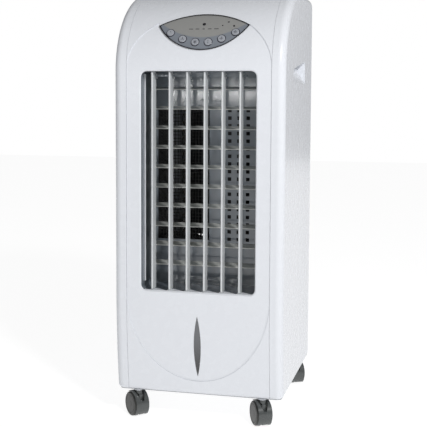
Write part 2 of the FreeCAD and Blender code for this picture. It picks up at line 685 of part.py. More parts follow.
def blower_wheel():
    """Forward-curved drum wheel on its hub disc."""
    rings = []
    for z in (FAN_Z0, FAN_Z1 - 4):
        rings.append(rod((0, 0, z), (0, 0, 1), FAN_R, 4).cut(rod((0, 0, z - 1), (0, 0, 1), FAN_INNER_R, 6)))
    middle = (FAN_Z0 + FAN_Z1) / 2
    disc = rod((0, 0, middle - 1.5), (0, 0, 1), FAN_R, 3)
    hub = rod((0, 0, middle - 12), (0, 0, 1), 10, 24)
    wheel = fused([disc, hub] + rings)
    blade = block(FAN_INNER_R + 0.5, FAN_R - 0.5, -0.7, 0.7, FAN_Z0 + 1, FAN_Z1 - 1)
    blade.rotate(V((FAN_INNER_R + FAN_R) / 2, 0, 0), V(0, 0, 1), 28)
    blades = []
    for i in range(BLADE_COUNT):
        copy = blade.copy()
        copy.rotate(V(0, 0, 0), V(0, 0, 1), 360.0 * i / BLADE_COUNT)
        blades.append(copy)
    wheel = fused([wheel] + blades)
    wheel = wheel.cut(rod((0, 0, FAN_Z0), (0, 0, 1), SHAFT_R + PIN_CLEAR, FAN_Z1 - FAN_Z0))
    wheel.translate(V(FAN_X, FAN_Y, 0))
    return wheel


def blower_shaft():
    """Motor shaft that carries the wheel."""
    return rod((FAN_X, FAN_Y, MOTOR_Z0 + 4), (0, 0, 1), SHAFT_R, 185)


def fan_motor():
    """Fan motor under the blower, with its bearing bore."""
    can = rod((FAN_X, FAN_Y, MOTOR_Z0), (0, 0, 1), MOTOR_R, MOTOR_Z1 - MOTOR_Z0)
    flange = rod((FAN_X, FAN_Y, MOTOR_Z1 - 1), (0, 0, 1), 41, 4.2)
    motor = fused([can, flange])
    return motor.cut(rod((FAN_X, FAN_Y, MOTOR_Z0 + 3), (0, 0, 1), SHAFT_R + PIN_CLEAR, 80))


# ---- water side ------------------------------------------------------------------------------
def water_tank():
    """Pull-out tank: open tray with its rear face and grip."""
    body = rounded_block(-TANK_HALF, TANK_HALF, TANK_Y0, BACK_Y - 4, TANK_Z0, TANK_Z1, 12, "z")
    inner = rounded_block(-TANK_HALF + TANK_WALL, TANK_HALF - TANK_WALL, TANK_Y0 + TANK_WALL,
                          BACK_Y - 8, TANK_Z0 + TANK_WALL, TANK_Z1 + 5, 10, "z")
    face = rounded_block(-TANK_FACE_HALF, TANK_FACE_HALF, BACK_Y - 9, BACK_Y - 0.3, TANK_Z0,
                         TANK_OPEN_Z - 0.6, 6, "y")
    grip = rounded_block(-45, 45, BACK_Y - 6.5, BACK_Y + 5, 160, 188, 8, "y")
    return fused([body, face]).cut(inner).cut(grip).removeSplitter()


def pump():
    """Submersible pump standing in the tank, with its outlet spigot."""
    body = rounded_block(80, 105, 38, 82, TANK_Z0 + TANK_WALL + 0.2, 104, 5, "z")
    column = rod((HOSE_X, HOSE_Y, 103), (0, 0, 1), 6, 93)
    spigot = rod((HOSE_X, HOSE_Y, 195), (0, 0, 1), 4, 6.5)
    return fused([body, column, spigot])


def riser_hose():
    """Hose from the pump coupling up to the distributor tray, on fixed clips."""
    x, bend, z0, z1 = HOSE_X, 25.0, TANK_OPEN_Z - 1.2, 612.0
    start = V(x, HOSE_Y, z0)
    rise = V(x, HOSE_Y, z1 - bend)
    turn = V(x, HOSE_Y + bend * (1 - math.cos(math.pi / 4)), z1 - bend + bend * math.sin(math.pi / 4))
    level = V(x, HOSE_Y + bend, z1)
    end = V(x, 99.6, z1)
    spine = Part.Wire([Part.LineSegment(start, rise).toShape(), Part.Arc(rise, turn, level).toShape(),
                       Part.LineSegment(level, end).toShape()])

    def tube(radius):
        ring = Part.Wire([Part.makeCircle(radius, start, V(0, 0, 1))])
        return spine.makePipeShell([ring], True, False)

    return tube(HOSE_R).cut(tube(HOSE_R - 1.4))


def distributor_tray():
    """Trough over the cooling pad with drip holes and the hose spigot."""
    tray = block(-100, 100, 106, 134, 605, 621).cut(block(-98, 98, 108, 132, 607, 622))
    spigot = rod((HOSE_X, 99.8, 612), (0, 1, 0), 3.4, 7)
    tray = tray.fuse(spigot)
    for i in range(9):
        tray = tray.cut(rod((-88 + 22 * i, 120, 600), (0, 0, 1), 1.5, 10))
    return tray


def frame_ring(half, y0, y1, z0, z1, bar):
    """Rectangular ring in the XZ plane."""
    ring = block(-half, half, y0, y1, z0, z1)
    return ring.cut(block(-half + bar, half - bar, y0 - 1, y1 + 1, z0 + bar, z1 - bar))


def dust_filter():
    """Rear intake grille with its level bars: the outer part of the rear cassette."""
    ring = frame_ring(CASSETTE_HALF, 139, BACK_Y - 0.5, CASSETTE_Z0, CASSETTE_Z1, 10)
    bars = []
    count = 24
    for i in range(1, count):
        z = CASSETTE_Z0 + (CASSETTE_Z1 - CASSETTE_Z0) * i / count
        bar = block(-97, 97, -4, 4, -1, 1)
        bar.rotate(V(0, 0, 0), V(1, 0, 0), -30)
        bar.translate(V(0, BACK_Y - 6.5, z))
        bars.append(bar)
    posts = [block(x - 1.5, x + 1.5, 140, 144.5, CASSETTE_Z0 + 5, CASSETTE_Z1 - 5) for x in (-50, 0, 50)]
    return fused([ring] + bars + posts)


def pad_frame():
    """Frame that carries the cooling pad inside the rear cassette."""
    ring = frame_ring(CASSETTE_HALF - 1.4, 109, 138.7, CASSETTE_Z0 + 1, CASSETTE_Z1 - 1, 4)
    bars = [block(-102, 102, 109, 111, z - 1.5, z + 1.5) for z in (323, 417, 511)]
    return fused([ring] + bars)


def cooling_pad():
    """Cellulose cooling pad."""
    return block(-99.6, 99.6, 111.4, 133, CASSETTE_Z0 + 5.4, CASSETTE_Z1 - 5.4)


def cord_gland():
    """Cord inlet in the rear cover."""
    collar = rod((GLAND_X, BACK_Y - 2.9, GLAND_Z), (0, 1, 0), GLAND_R - 0.2, 2.5)
    nut = rod((GLAND_X, BACK_Y - 8, GLAND_Z), (0, 1, 0), 8, 4.7)
    neck = rod((GLAND_X, BACK_Y - 4, GLAND_Z), (0, 1, 0), GLAND_R - 0.4, 2)
    return fused([collar, nut, neck]).cut(rod((GLAND_X, 100, GLAND_Z), (0, 1, 0), 3.2, 80))


# ---- casters ---------------------------------------------------------------------------------
def placed(shape, stem_x, stem_y, heading):
    """Turn a caster piece from its own frame (axle along X, stem at the origin) to its place."""
    shape.rotate(V(0, 0, 0), V(0, 0, 1), heading)
    shape.translate(V(stem_x, stem_y, 0))
    return shape


def caster_hood(stem_x, stem_y, heading):
    """Swivelling hood: web between the wheels, curved cover and stem."""
    axle = V(0, TRAIL, WHEEL_R)
    drum = Part.makeCylinder(HOOD_R, 2 * HOOD_HALF, axle - V(HOOD_HALF, 0, 0), V(1, 0, 0))
    hollow = Part.makeCylinder(HOOD_R - HOOD_WALL, 2 * HOOD_HALF + 2,
                               axle - V(HOOD_HALF + 1, 0, 0), V(1, 0, 0))
    below = block(-30, 30, -60, 60, -10, HOOD_LOW_Z)
    behind = block(-30, 30, TRAIL + 9.0, 60, -10, 60)
    cover = drum.cut(hollow).cut(block(-30, 30, TRAIL - 1.0, 60, -10, 38)).cut(behind).cut(below)
    cover = cover.cut(rod((0, -40, HOOD_LOW_Z - 2), (0, 1, 0), 7.0, 40))
    top = WHEEL_R + HOOD_R + 1
    tip = top - NOTCH_DEPTH
    corners = [V(-NOTCH_HALF, -40, top), V(NOTCH_HALF, -40, top), V(2.6, -40, tip), V(-2.6, -40, tip)]
    face = Part.Face(Part.makePolygon(corners + [corners[0]]))
    cover = cover.cut(face.extrude(V(0, 38 + TRAIL, 0))).cut(rod((0, -40, tip), (0, 1, 0), 2.6, 40))
    web = Part.makeCylinder(HOOD_R - 0.5, 2 * WEB_HALF, axle - V(WEB_HALF, 0, 0), V(1, 0, 0))
    web = web.cut(below).cut(behind).cut(face.extrude(V(0, 32, 0)))
    collar = rod((0, 0, WHEEL_R + HOOD_R - 6), (0, 0, 1), 6.0, 7.0)
    collar = collar.cut(Part.makeCylinder(WHEEL_R + 0.8, 40, axle - V(20, 0, 0), V(1, 0, 0)))
    stem = rod((0, 0, WHEEL_R + HOOD_R - 2.5), (0, 0, 1), STEM_R, 10.5)
    hood = fused([cover, web, collar, stem])
    bore = Part.makeCylinder(3.0 + PIN_CLEAR, 40, axle - V(20, 0, 0), V(1, 0, 0))
    return placed(hood.cut(bore), stem_x, stem_y, heading)


def caster_wheels(stem_x, stem_y, heading):
    """Twin wheels on their axle."""
    axle = V(0, TRAIL, WHEEL_R)
    pieces = [Part.makeCylinder(3.0, 2 * WHEEL_HALF - 2, axle - V(WHEEL_HALF - 1, 0, 0), V(1, 0, 0))]
    for side in (-1, 1):
        inner_x = WEB_HALF + 0.4
        thick = WHEEL_HALF - inner_x - 0.2
        start = axle + V(side * inner_x, 0, 0)
        wheel = Part.makeCylinder(WHEEL_R, thick, start, V(side, 0, 0))
        rims = sorted((e for e in wheel.Edges if e.BoundBox.XLength < 0.01),
                      key=lambda e: side * e.BoundBox.XMin)
        wheel = wheel.makeFillet(1.0, rims[:1])
        rims = [e for e in wheel.Edges if e.BoundBox.XLength < 0.01]
        wheel = wheel.makeFillet(3.2, [max(rims, key=lambda e: side * e.BoundBox.XMin)])
        groove_start = axle + V(side * (WHEEL_HALF - 0.8), 0, 0)
        groove = Part.makeCylinder(15.6, 1.0, groove_start, V(side, 0, 0)).cut(
            Part.makeCylinder(14.8, 1.0, groove_start, V(side, 0, 0)))
        pieces.append(wheel.cut(groove))
        hub_start = axle + V(side * (WHEEL_HALF - 2.0), 0, 0)
        pieces.append(Part.makeCylinder(5.0, 2.0, hub_start, V(side, 0, 0)))
    return placed(fused(pieces), stem_x, stem_y, heading)


# ---- write every piece -----------------------------------------------------------------------
def all_pieces():
    """Every piece of the cooler by its node name."""
    pieces = {
        "front_panel": front_panel(),
        "left_side_shell": side_shell(-1),
        "right_side_shell": side_shell(1),
        "rear_cover": rear_cover(),
        "case_screws": case_screws(),
        "base_pan": base_pan(),
        "caster_sockets": caster_sockets(),
        "water_level_window": level_window(),
        "control_bezel": control_bezel(),
        "control_face": control_face(),
        "control_board": control_board(),
        "slat_sill": slat_sill(),
        "slat_link_bar": slat_link_bar(),
        "vane_combs": vane_combs(),
        "vane_link_bar": vane_link_bar(),
        "swing_motor": swing_motor(),
        "air_duct": air_duct(),
        "outlet_guard": outlet_guard(),
        "volute_housing": volute_housing(),
        "blower_wheel": blower_wheel(),
        "blower_shaft": blower_shaft(),
        "fan_motor": fan_motor(),
        "water_tank": water_tank(),
        "pump": pump(),
        "riser_hose": riser_hose(),
        "distributor_tray": distributor_tray(),
        "dust_filter": dust_filter(),
        "pad_frame": pad_frame(),
        "cooling_pad": cooling_pad(),
        "cord_gland": cord_gland(),
    }
    for index in range(BUTTON_COUNT):
        pieces["button_%d" % (index + 1)] = button(index)
    for index in range(SLAT_COUNT):
        pieces["slat_%d" % (index + 1)] = slat(index)
    for index in range(VANE_COUNT):
        pieces["vane_%d" % (index + 1)] = vane(index)
    for corner, (x, y, heading) in CASTERS.items():
        pieces["caster_hood_" + corner] = caster_hood(x, y, heading)
        pieces["caster_wheels_" + corner] = caster_wheels(x, y, heading)
    return pieces


os.makedirs("parts", exist_ok=True)
total = FreeCAD.BoundBox()
for node, shape in all_pieces().items():
    if not shape.isValid():
        print("not valid:", node)
    shape.exportStep(os.path.join("parts", node + ".step"))
    total.add(shape.optimalBoundingBox(False))
    print("%-20s solids %2d  volume %9.0f mm3" % (node, len(shape.Solids), shape.Volume))
print("overall X %.1f..%.1f  Y %.1f..%.1f  Z %.1f..%.1f" % (
    total.XMin, total.XMax, total.YMin, total.YMax, total.ZMin, total.ZMax))
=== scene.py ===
"""Looks of a portable evaporative cooler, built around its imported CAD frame.

The CAD nodes hold every shape that moves, fits or carries load. This script dresses them and adds
the fine pieces: the woven outlet guard, the corrugated pad, the dust net, the collars and symbols of
the buttons, the lamps and light slits, the studio and the camera.
"""

from __future__ import annotations

import json
import logging
import math
from dataclasses import dataclass
from enum import Enum
from typing import Callable, Iterable, Sequence

import bpy
from mathutils import Matrix, Vector

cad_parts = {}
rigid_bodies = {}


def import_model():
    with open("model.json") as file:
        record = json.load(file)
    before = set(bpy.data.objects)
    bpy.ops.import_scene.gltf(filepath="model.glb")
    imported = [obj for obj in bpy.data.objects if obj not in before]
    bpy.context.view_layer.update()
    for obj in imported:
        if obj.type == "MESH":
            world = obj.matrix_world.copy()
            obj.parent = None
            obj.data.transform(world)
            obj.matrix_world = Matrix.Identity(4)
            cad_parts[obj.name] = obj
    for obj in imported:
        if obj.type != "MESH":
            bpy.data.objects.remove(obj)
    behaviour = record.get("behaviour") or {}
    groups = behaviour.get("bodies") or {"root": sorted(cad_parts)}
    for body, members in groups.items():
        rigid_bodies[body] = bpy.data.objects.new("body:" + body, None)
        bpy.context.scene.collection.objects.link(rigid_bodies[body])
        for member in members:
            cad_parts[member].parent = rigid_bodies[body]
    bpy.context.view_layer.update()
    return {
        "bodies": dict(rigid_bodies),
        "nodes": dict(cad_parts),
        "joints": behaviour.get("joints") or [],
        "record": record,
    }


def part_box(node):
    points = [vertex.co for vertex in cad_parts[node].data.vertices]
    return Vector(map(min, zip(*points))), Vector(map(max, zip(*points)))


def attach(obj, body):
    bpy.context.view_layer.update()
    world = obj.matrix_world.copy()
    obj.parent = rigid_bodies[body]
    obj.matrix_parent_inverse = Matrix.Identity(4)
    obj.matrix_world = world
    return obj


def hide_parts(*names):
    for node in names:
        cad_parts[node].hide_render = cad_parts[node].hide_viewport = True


log = logging.getLogger("cooler")

Number = float | int
Point = tuple[float, float, float]


# ---- shader maths -----------------------------------------------------------------------------
class Value:
    """A shader socket that takes part in Python arithmetic."""

    def __init__(self, graph: "Graph", socket: bpy.types.NodeSocket) -> None:
        """Wrap one output socket of a graph.

        Args:
            graph: The node graph that the socket belongs to.
            socket: The output socket.
        """
        self.graph = graph
        self.socket = socket

    def _math(self, operation: str, *others: "Value | Number") -> "Value":
        """Return the result of one Math node with this value first."""
        return self.graph.math(operation, self, *others)

    def __add__(self, other: "Value | Number") -> "Value":
        """Sum."""
        return self._math("ADD", other)

    __radd__ = __add__

    def __sub__(self, other: "Value | Number") -> "Value":
        """Difference."""
        return self._math("SUBTRACT", other)

    def __rsub__(self, other: Number) -> "Value":
        """Difference with a plain number on the left."""
        return self.graph.math("SUBTRACT", other, self)

    def __mul__(self, other: "Value | Number") -> "Value":
        """Product."""
        return self._math("MULTIPLY", other)

    __rmul__ = __mul__

    def __truediv__(self, other: "Value | Number") -> "Value":
        """Quotient."""
        return self._math("DIVIDE", other)

    def at_most(self, other: "Value | Number") -> "Value":
        """The smaller of two values."""
        return self._math("MINIMUM", other)

    def ramp(self, low: float, high: float) -> "Value":
        """Map low..high to 0..1, smooth at both ends and clamped."""
        node = self.graph.add("ShaderNodeMapRange", {"interpolation_type": "SMOOTHSTEP"},
                              {"Value": self, "From Min": low, "From Max": high})
        return Value(self.graph, node.outputs["Result"])


class Graph:
    """Builds one material's node tree."""

    def __init__(self, name: str) -> None:
        """Start an empty material.

        Args:
            name: The material's name.
        """
        self.material = bpy.data.materials.new(name)
        self.material.use_nodes = True
        self.tree = self.material.node_tree
        self.tree.nodes.clear()

    def add(self, kind: str, settings: dict | None = None, sockets: dict | None = None) -> bpy.types.Node:
        """Add a node, set it up and join its sockets.

        Args:
            kind: The node's type.
            settings: Properties that are set first.
            sockets: Input names or indices with a plain value, a Value or an output socket.

        Returns:
            The new node.
        """
        node = self.tree.nodes.new(kind)
        for key, value in (settings or {}).items():
            setattr(node, key, value)
        for key, value in (sockets or {}).items():
            target = node.inputs[key]
            if isinstance(value, Value):
                self.tree.links.new(value.socket, target)
            elif isinstance(value, bpy.types.NodeSocket):
                self.tree.links.new(value, target)
            else:
                target.default_value = value
        return node

    def math(self, operation: str, *terms: Value | Number) -> Value:
        """Return the output of one Math node."""
        node = self.add("ShaderNodeMath", {"operation": operation}, dict(enumerate(terms)))
        return Value(self, node.outputs[0])

    def place(self, scale: Point = (1.0, 1.0, 1.0), turn: Point = (0.0, 0.0, 0.0)) -> bpy.types.NodeSocket:
        """Return object coordinates through a Mapping node."""
        coords = self.add("ShaderNodeTexCoord")
        mapping = self.add("ShaderNodeMapping", {}, {"Vector": coords.outputs["Object"], "Scale": scale,
                                                    "Rotation": turn})
        return mapping.outputs["Vector"]

    def axis(self, index: int) -> Value:
        """Return one object coordinate in metres."""
        coords = self.add("ShaderNodeTexCoord")
        split = self.add("ShaderNodeSeparateXYZ", {}, {0: coords.outputs["Object"]})
        return Value(self, split.outputs[index])

    def noise(self, scale: float, detail: float = 3.0, stretch: Point = (1.0, 1.0, 1.0)) -> Value:
        """Return a noise value from 0 to 1, with its pattern size as cells per metre."""
        node = self.add("ShaderNodeTexNoise", {}, {"Vector": self.place(stretch), "Scale": scale,
                                                 "Detail": detail})
        return Value(self, node.outputs[0])

    def mix(self, factor: Value, low: Sequence[float], high: Sequence[float]) -> bpy.types.NodeSocket:
        """Return a colour between two colours."""
        node = self.add("ShaderNodeMix", {"data_type": "RGBA"},
                        {"Factor": factor, 6: (*low, 1.0), 7: (*high, 1.0)})
        return node.outputs[2]

    def bump(self, height: Value, distance: float, strength: float = 1.0) -> bpy.types.NodeSocket:
        """Return a normal from a height, with the height's real size in metres."""
        node = self.add("ShaderNodeBump", {}, {"Height": height, "Distance": distance, "Strength": strength})
        return node.outputs["Normal"]

    def shader(self, sockets: dict) -> bpy.types.Material:
        """Finish the material with one Principled shader and return it."""
        principled = self.add("ShaderNodeBsdfPrincipled", {}, sockets)
        self.add("ShaderNodeOutputMaterial", {}, {"Surface": principled.outputs["BSDF"]})
        return self.material


# ---- finishes -----------------------------------------------------------------------------------
@dataclass(frozen=True)
class Moulding:
    """Injection-moulded plastic with faint flow marks and a fine orange peel."""

    name: str
    colour: tuple[float, float, float]
    shade: tuple[float, float, float]
    roughness: float = 0.25
    spread: float = 0.06
    coat: float = 0.0
    grain: float = 900.0
    relief: float = 0.00002
    specular: float = 0.5

    def make(self) -> bpy.types.Material:
        """Build the material.

        Returns:
            The finished material.
        """
        graph = Graph(self.name)
        cloud = graph.noise(9.0, 4.0)
        flow = graph.noise(30.0, 3.0, (1.0, 1.0, 0.25))
        tone = (cloud * 0.6 + flow * 0.4).ramp(0.30, 0.72)
        specks = graph.noise(self.grain, 2.0)
        smears = graph.noise(55.0, 5.0).ramp(0.35, 0.75)
        return graph.shader({
            "Base Color": graph.mix(tone, self.shade, self.colour),
            "Roughness": smears * self.spread + (self.roughness + (specks - 0.5) * 0.05),
            "Coat Weight": self.coat,
            "Coat Roughness": 0.08,
            "Specular IOR Level": self.specular,
            "Normal": graph.bump(specks, self.relief, 0.35),
        })


@dataclass(frozen=True)
class PaintedHighlightMoulding:
    """Dark plastic with a painted highlight: a pale band painted along its front edge stands in for the
    glint of the light, and its faces behind it keep their dark colour.
    """

    name: str
    # The first colour is the painted highlight along the front edge, the second the plastic's own dark
    # colour; the y value says where the painted highlight ends.
    edge: tuple[float, float, float]
    face: tuple[float, float, float]
    highlight_end_y: float
    roughness: float = 0.3

    def make(self) -> bpy.types.Material:
        """Build the material.

        Returns:
            The finished material.
        """
        graph = Graph(self.name)
        # Painted highlight: pale in front of the given y, the dark face colour behind it.
        behind = graph.axis(1).ramp(self.highlight_end_y - 0.0003, self.highlight_end_y + 0.0003)
        specks = graph.noise(900.0, 2.0)
        return graph.shader({
            "Base Color": graph.mix(behind, self.edge, self.face),
            "Roughness": specks * 0.08 + self.roughness,
            "Normal": graph.bump(specks, 0.00002, 0.35),
        })


@dataclass(frozen=True)
class GrainedPlastic:
    """Eroded-texture plastic for wheels, motor covers and the chassis."""

    name: str
    colour: tuple[float, float, float]
    worn: tuple[float, float, float]
    roughness: float = 0.5
    grain: float = 1400.0
    relief: float = 0.00006

    def make(self) -> bpy.types.Material:
        """Build the material.

        Returns:
            The finished material.
        """
        graph = Graph(self.name)
        pits = graph.noise(self.grain, 2.0)
        scuffs = graph.noise(160.0, 6.0, (1.0, 1.0, 3.0)).ramp(0.55, 0.78)
        dust = graph.noise(25.0, 4.0).ramp(0.4, 0.8)
        return graph.shader({
            "Base Color": graph.mix((scuffs * 0.6 + dust * 0.25).at_most(1.0), self.colour, self.worn),
            "Roughness": scuffs * 0.12 + (self.roughness + (pits - 0.5) * 0.15),
            "Normal": graph.bump(pits, self.relief, 0.6),
        })


@dataclass(frozen=True)
class Metal:
    """Ground, plated or lacquered metal with drawn scratches."""

    name: str
    colour: tuple[float, float, float]
    dull: tuple[float, float, float]
    roughness: float = 0.35
    metallic: float = 1.0
    scratch: tuple[float, float, float] = (900.0, 900.0, 60.0)

    def make(self) -> bpy.types.Material:
        """Build the material.

        Returns:
            The finished material.
        """
        graph = Graph(self.name)
        lines = graph.noise(1.0, 4.0, self.scratch)
        stains = graph.noise(70.0, 5.0).ramp(0.4, 0.8)
        return graph.shader({
            "Base Color": graph.mix(stains, self.colour, self.dull),
            "Metallic": self.metallic,
            "Roughness": stains * 0.15 + (self.roughness + (lines - 0.5) * 0.2),
            "Normal": graph.bump(lines, 0.00003, 0.4),
        })


@dataclass(frozen=True)
class SmokedLens:
    """Smoked window, darker towards its bottom and lighter towards its top."""

    name: str
    top: tuple[float, float, float]
    foot: tuple[float, float, float]
    low_z: float
    high_z: float

    def make(self) -> bpy.types.Material:
        """Build the material.

        Returns:
            The finished material.
        """
        graph = Graph(self.name)
        height = graph.axis(2).ramp(self.low_z, self.high_z)
        haze = graph.noise(400.0, 3.0)
        return graph.shader({
            "Base Color": graph.mix(height, self.foot, self.top),
            "Roughness": (haze - 0.5) * 0.08 + 0.12,
            "Coat Weight": 1.0,
            "Coat Roughness": 0.03,
            "Normal": graph.bump(haze, 0.00001, 0.3),
        })


@dataclass(frozen=True)
class BandedFace:
    """Lacquered control face, silver above and lilac-silver along its lower edge."""

    name: str
    upper: tuple[float, float, float]
    lower: tuple[float, float, float]
    middle: tuple[float, float]
    end_rise: float
    half: float

    def make(self) -> bpy.types.Material:
        """Build the material.

        Returns:
            The finished material.
        """
        graph = Graph(self.name)
        across = (graph.axis(0) - self.middle[0]) / self.half
        border = graph.axis(2) - across * across * self.end_rise - self.middle[1]
        band = border.ramp(-0.0012, 0.0012)
        flakes = graph.noise(2600.0, 2.0)
        stroke = graph.noise(1.0, 3.0, (40.0, 900.0, 2400.0))
        return graph.shader({
            "Base Color": graph.mix(band, self.lower, self.upper),
            "Metallic": flakes * 0.2 + 0.25,
            "Roughness": stroke * 0.12 + 0.24,
            "Normal": graph.bump(flakes, 0.00001, 0.3),
        })


@dataclass(frozen=True)
class Cellulose:
    """Kraft cellulose of the cooling pad."""

    name: str
    colour: tuple[float, float, float]
    damp: tuple[float, float, float]

    def make(self) -> bpy.types.Material:
        """Build the material.

        Returns:
            The finished material.
        """
        graph = Graph(self.name)
        fibres = graph.noise(1.0, 5.0, (500.0, 500.0, 2200.0))
        stains = graph.noise(18.0, 5.0).ramp(0.35, 0.75)
        return graph.shader({
            "Base Color": graph.mix((stains * 0.7 + fibres * 0.3).at_most(1.0), self.colour, self.damp),
            "Roughness": fibres * 0.2 + 0.72,
            "Normal": graph.bump(fibres, 0.0001, 0.6),
        })


@dataclass(frozen=True)
class Laminate:
    """Green circuit laminate with a hint of its tracks."""

    name: str
    colour: tuple[float, float, float]
    track: tuple[float, float, float]

    def make(self) -> bpy.types.Material:
        """Build the material.

        Returns:
            The finished material.
        """
        graph = Graph(self.name)
        cells = graph.add("ShaderNodeTexBrick", {}, {"Vector": graph.place(turn=(math.pi / 2, 0.0, 0.0)),
                                                     "Scale": 160.0, "Mortar Size": 0.03,
                                                     "Color1": (0.0, 0.0, 0.0, 1.0),
                                                     "Color2": (0.1, 0.1, 0.1, 1.0),
                                                     "Mortar": (1.0, 1.0, 1.0, 1.0)})
        lines = Value(graph, cells.outputs["Fac"])
        return graph.shader({
            "Base Color": graph.mix(lines, self.colour, self.track),
            "Roughness": lines * -0.15 + 0.45,
            "Normal": graph.bump(lines, 0.00003, 0.5),
        })


class Slot(str, Enum):
    """Material slots of the record."""

    WHITE = "white_shell"
    SCREW = "steel_screw"
    CHASSIS = "grey_chassis"
    WINDOW = "window_smoke"
    BEZEL = "bezel_dark"
    PANEL = "panel_silver"
    BUTTON = "button_silver"
    BOARD = "circuit_board"
    SLAT = "slat_silver"
    VANE = "vane_silver"
    DUCT = "duct_grey"
    WIRE = "guard_wire"
    FAN = "fan_black"
    SHAFT = "shaft_steel"
    MOTOR = "motor_steel"
    HOSE = "hose_rubber"
    PAD = "pad_fibre"
    HOOD = "caster_grey"
    WHEEL = "caster_tread"


class Wardrobe:
    """Makes each finish once and dresses pieces with it."""

    def __init__(self) -> None:
        """Set the finish of every record slot."""
        window_low, window_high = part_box("water_level_window")
        top_colour_from = window_high.z - (window_high.z - window_low.z) * 0.25
        face_low, face_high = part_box("control_face")
        face_half = (face_high.x - face_low.x) / 2
        band_share, band_end_rise = 0.335, 0.0245
        face_middle = ((face_low.x + face_high.x) / 2,
                       face_low.z + (face_high.z - face_low.z) * band_share)
        self.finishes = {
            Slot.WHITE: Moulding("gloss_white", (0.73, 0.75, 0.79), (0.722, 0.742, 0.782), 0.26, 0.03, 0.1,
                                 relief=0.000004, specular=0.3),
            Slot.SCREW: Metal("plated_screw", (0.62, 0.62, 0.64), (0.42, 0.42, 0.44), 0.32),
            Slot.CHASSIS: GrainedPlastic("chassis_grey", (0.30, 0.31, 0.33), (0.42, 0.43, 0.45), 0.5),
            Slot.WINDOW: SmokedLens("smoked_lens", (0.10, 0.105, 0.115), (0.006, 0.006, 0.007),
                                    window_low.z, top_colour_from),
            Slot.BEZEL: Moulding("bezel_dark", (0.016, 0.016, 0.02), (0.010, 0.010, 0.013), 0.20, 0.08, 0.3),
            Slot.PANEL: BandedFace("control_face", (0.36, 0.36, 0.35), (0.26, 0.285, 0.325),
                                   face_middle, band_end_rise, face_half),
            Slot.BUTTON: Moulding("button_cap", (0.34, 0.355, 0.385), (0.29, 0.305, 0.34), 0.28, 0.08, 0.3),
            Slot.BOARD: Laminate("circuit_laminate", (0.02, 0.10, 0.04), (0.10, 0.28, 0.10)),
            Slot.SLAT: Moulding("slat_silver", (0.64, 0.66, 0.67), (0.58, 0.60, 0.615), 0.30, 0.08, 0.3),
            Slot.VANE: Moulding("vane_grey", (0.56, 0.57, 0.545), (0.48, 0.49, 0.465), 0.14, 0.08, 0.4),
            Slot.DUCT: Moulding("duct_grey", (0.25, 0.28, 0.315), (0.20, 0.228, 0.26), 0.12, 0.05, 0.8),
            Slot.WIRE: Metal("lacquered_wire", (0.035, 0.037, 0.036), (0.05, 0.05, 0.048), 0.4, 0.0),
            Slot.FAN: GrainedPlastic("fan_black", (0.015, 0.015, 0.018), (0.05, 0.05, 0.055), 0.45),
            Slot.SHAFT: Metal("ground_shaft", (0.6, 0.6, 0.62), (0.4, 0.4, 0.42), 0.25),
            Slot.MOTOR: Metal("motor_lacquer", (0.16, 0.17, 0.18), (0.24, 0.25, 0.26), 0.45, 0.1),
            Slot.HOSE: Moulding("silicone_hose", (0.45, 0.47, 0.48), (0.38, 0.40, 0.42), 0.45, 0.1),
            Slot.PAD: Cellulose("kraft_pad", (0.15, 0.115, 0.07), (0.08, 0.06, 0.036)),
            Slot.HOOD: Moulding("hood_nylon", (0.075, 0.082, 0.082), (0.055, 0.06, 0.06), 0.26, 0.10, 0.2),
            Slot.WHEEL: GrainedPlastic("wheel_nylon", (0.020, 0.021, 0.019), (0.045, 0.047, 0.043), 0.36),
        }
        # The vane combs get a painted highlight: a pale strip painted along their front edge stands in for
        # the glint of the light on that edge.
        comb_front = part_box("vane_combs")[0].y
        painted_highlight_depth = 0.0022
        self.own_finishes = {
            "vane_combs": PaintedHighlightMoulding("comb_with_painted_highlight", (0.85, 0.87, 0.90), (0.14, 0.155, 0.17),
                                        comb_front + painted_highlight_depth),
        }
        self.made: dict[str, bpy.types.Material] = {}

    def material(self, finish: object) -> bpy.types.Material:
        """Return a finish's material, made on first use."""
        if finish.name not in self.made:
            self.made[finish.name] = finish.make()
        return self.made[finish.name]

    def dress(self, piece: bpy.types.Object, slot: Slot, finish: object | None = None) -> None:
        """Give a piece the finish of its slot.

        Args:
            piece: The object to dress.
            slot: The record slot that it belongs to.
            finish: A finish to use in place of the slot's own.
        """
        material = self.material(finish or self.finishes[slot])
        piece.data.materials.clear()
        piece.data.materials.append(material)

    def dress_frame(self, frame: dict) -> None:
        """Dress every CAD node by its slot in the record, or in a finish of its own."""
        slots = {part["node"]: part["material_slot"] for part in frame["record"]["subparts"]}
        for name, node in frame["nodes"].items():
            material = self.material(self.own_finishes.get(name, self.finishes[Slot(slots[name])]))
            node.data.materials.clear()
            node.data.materials.append(material)
        log.info("dressed %d CAD nodes", len(slots))


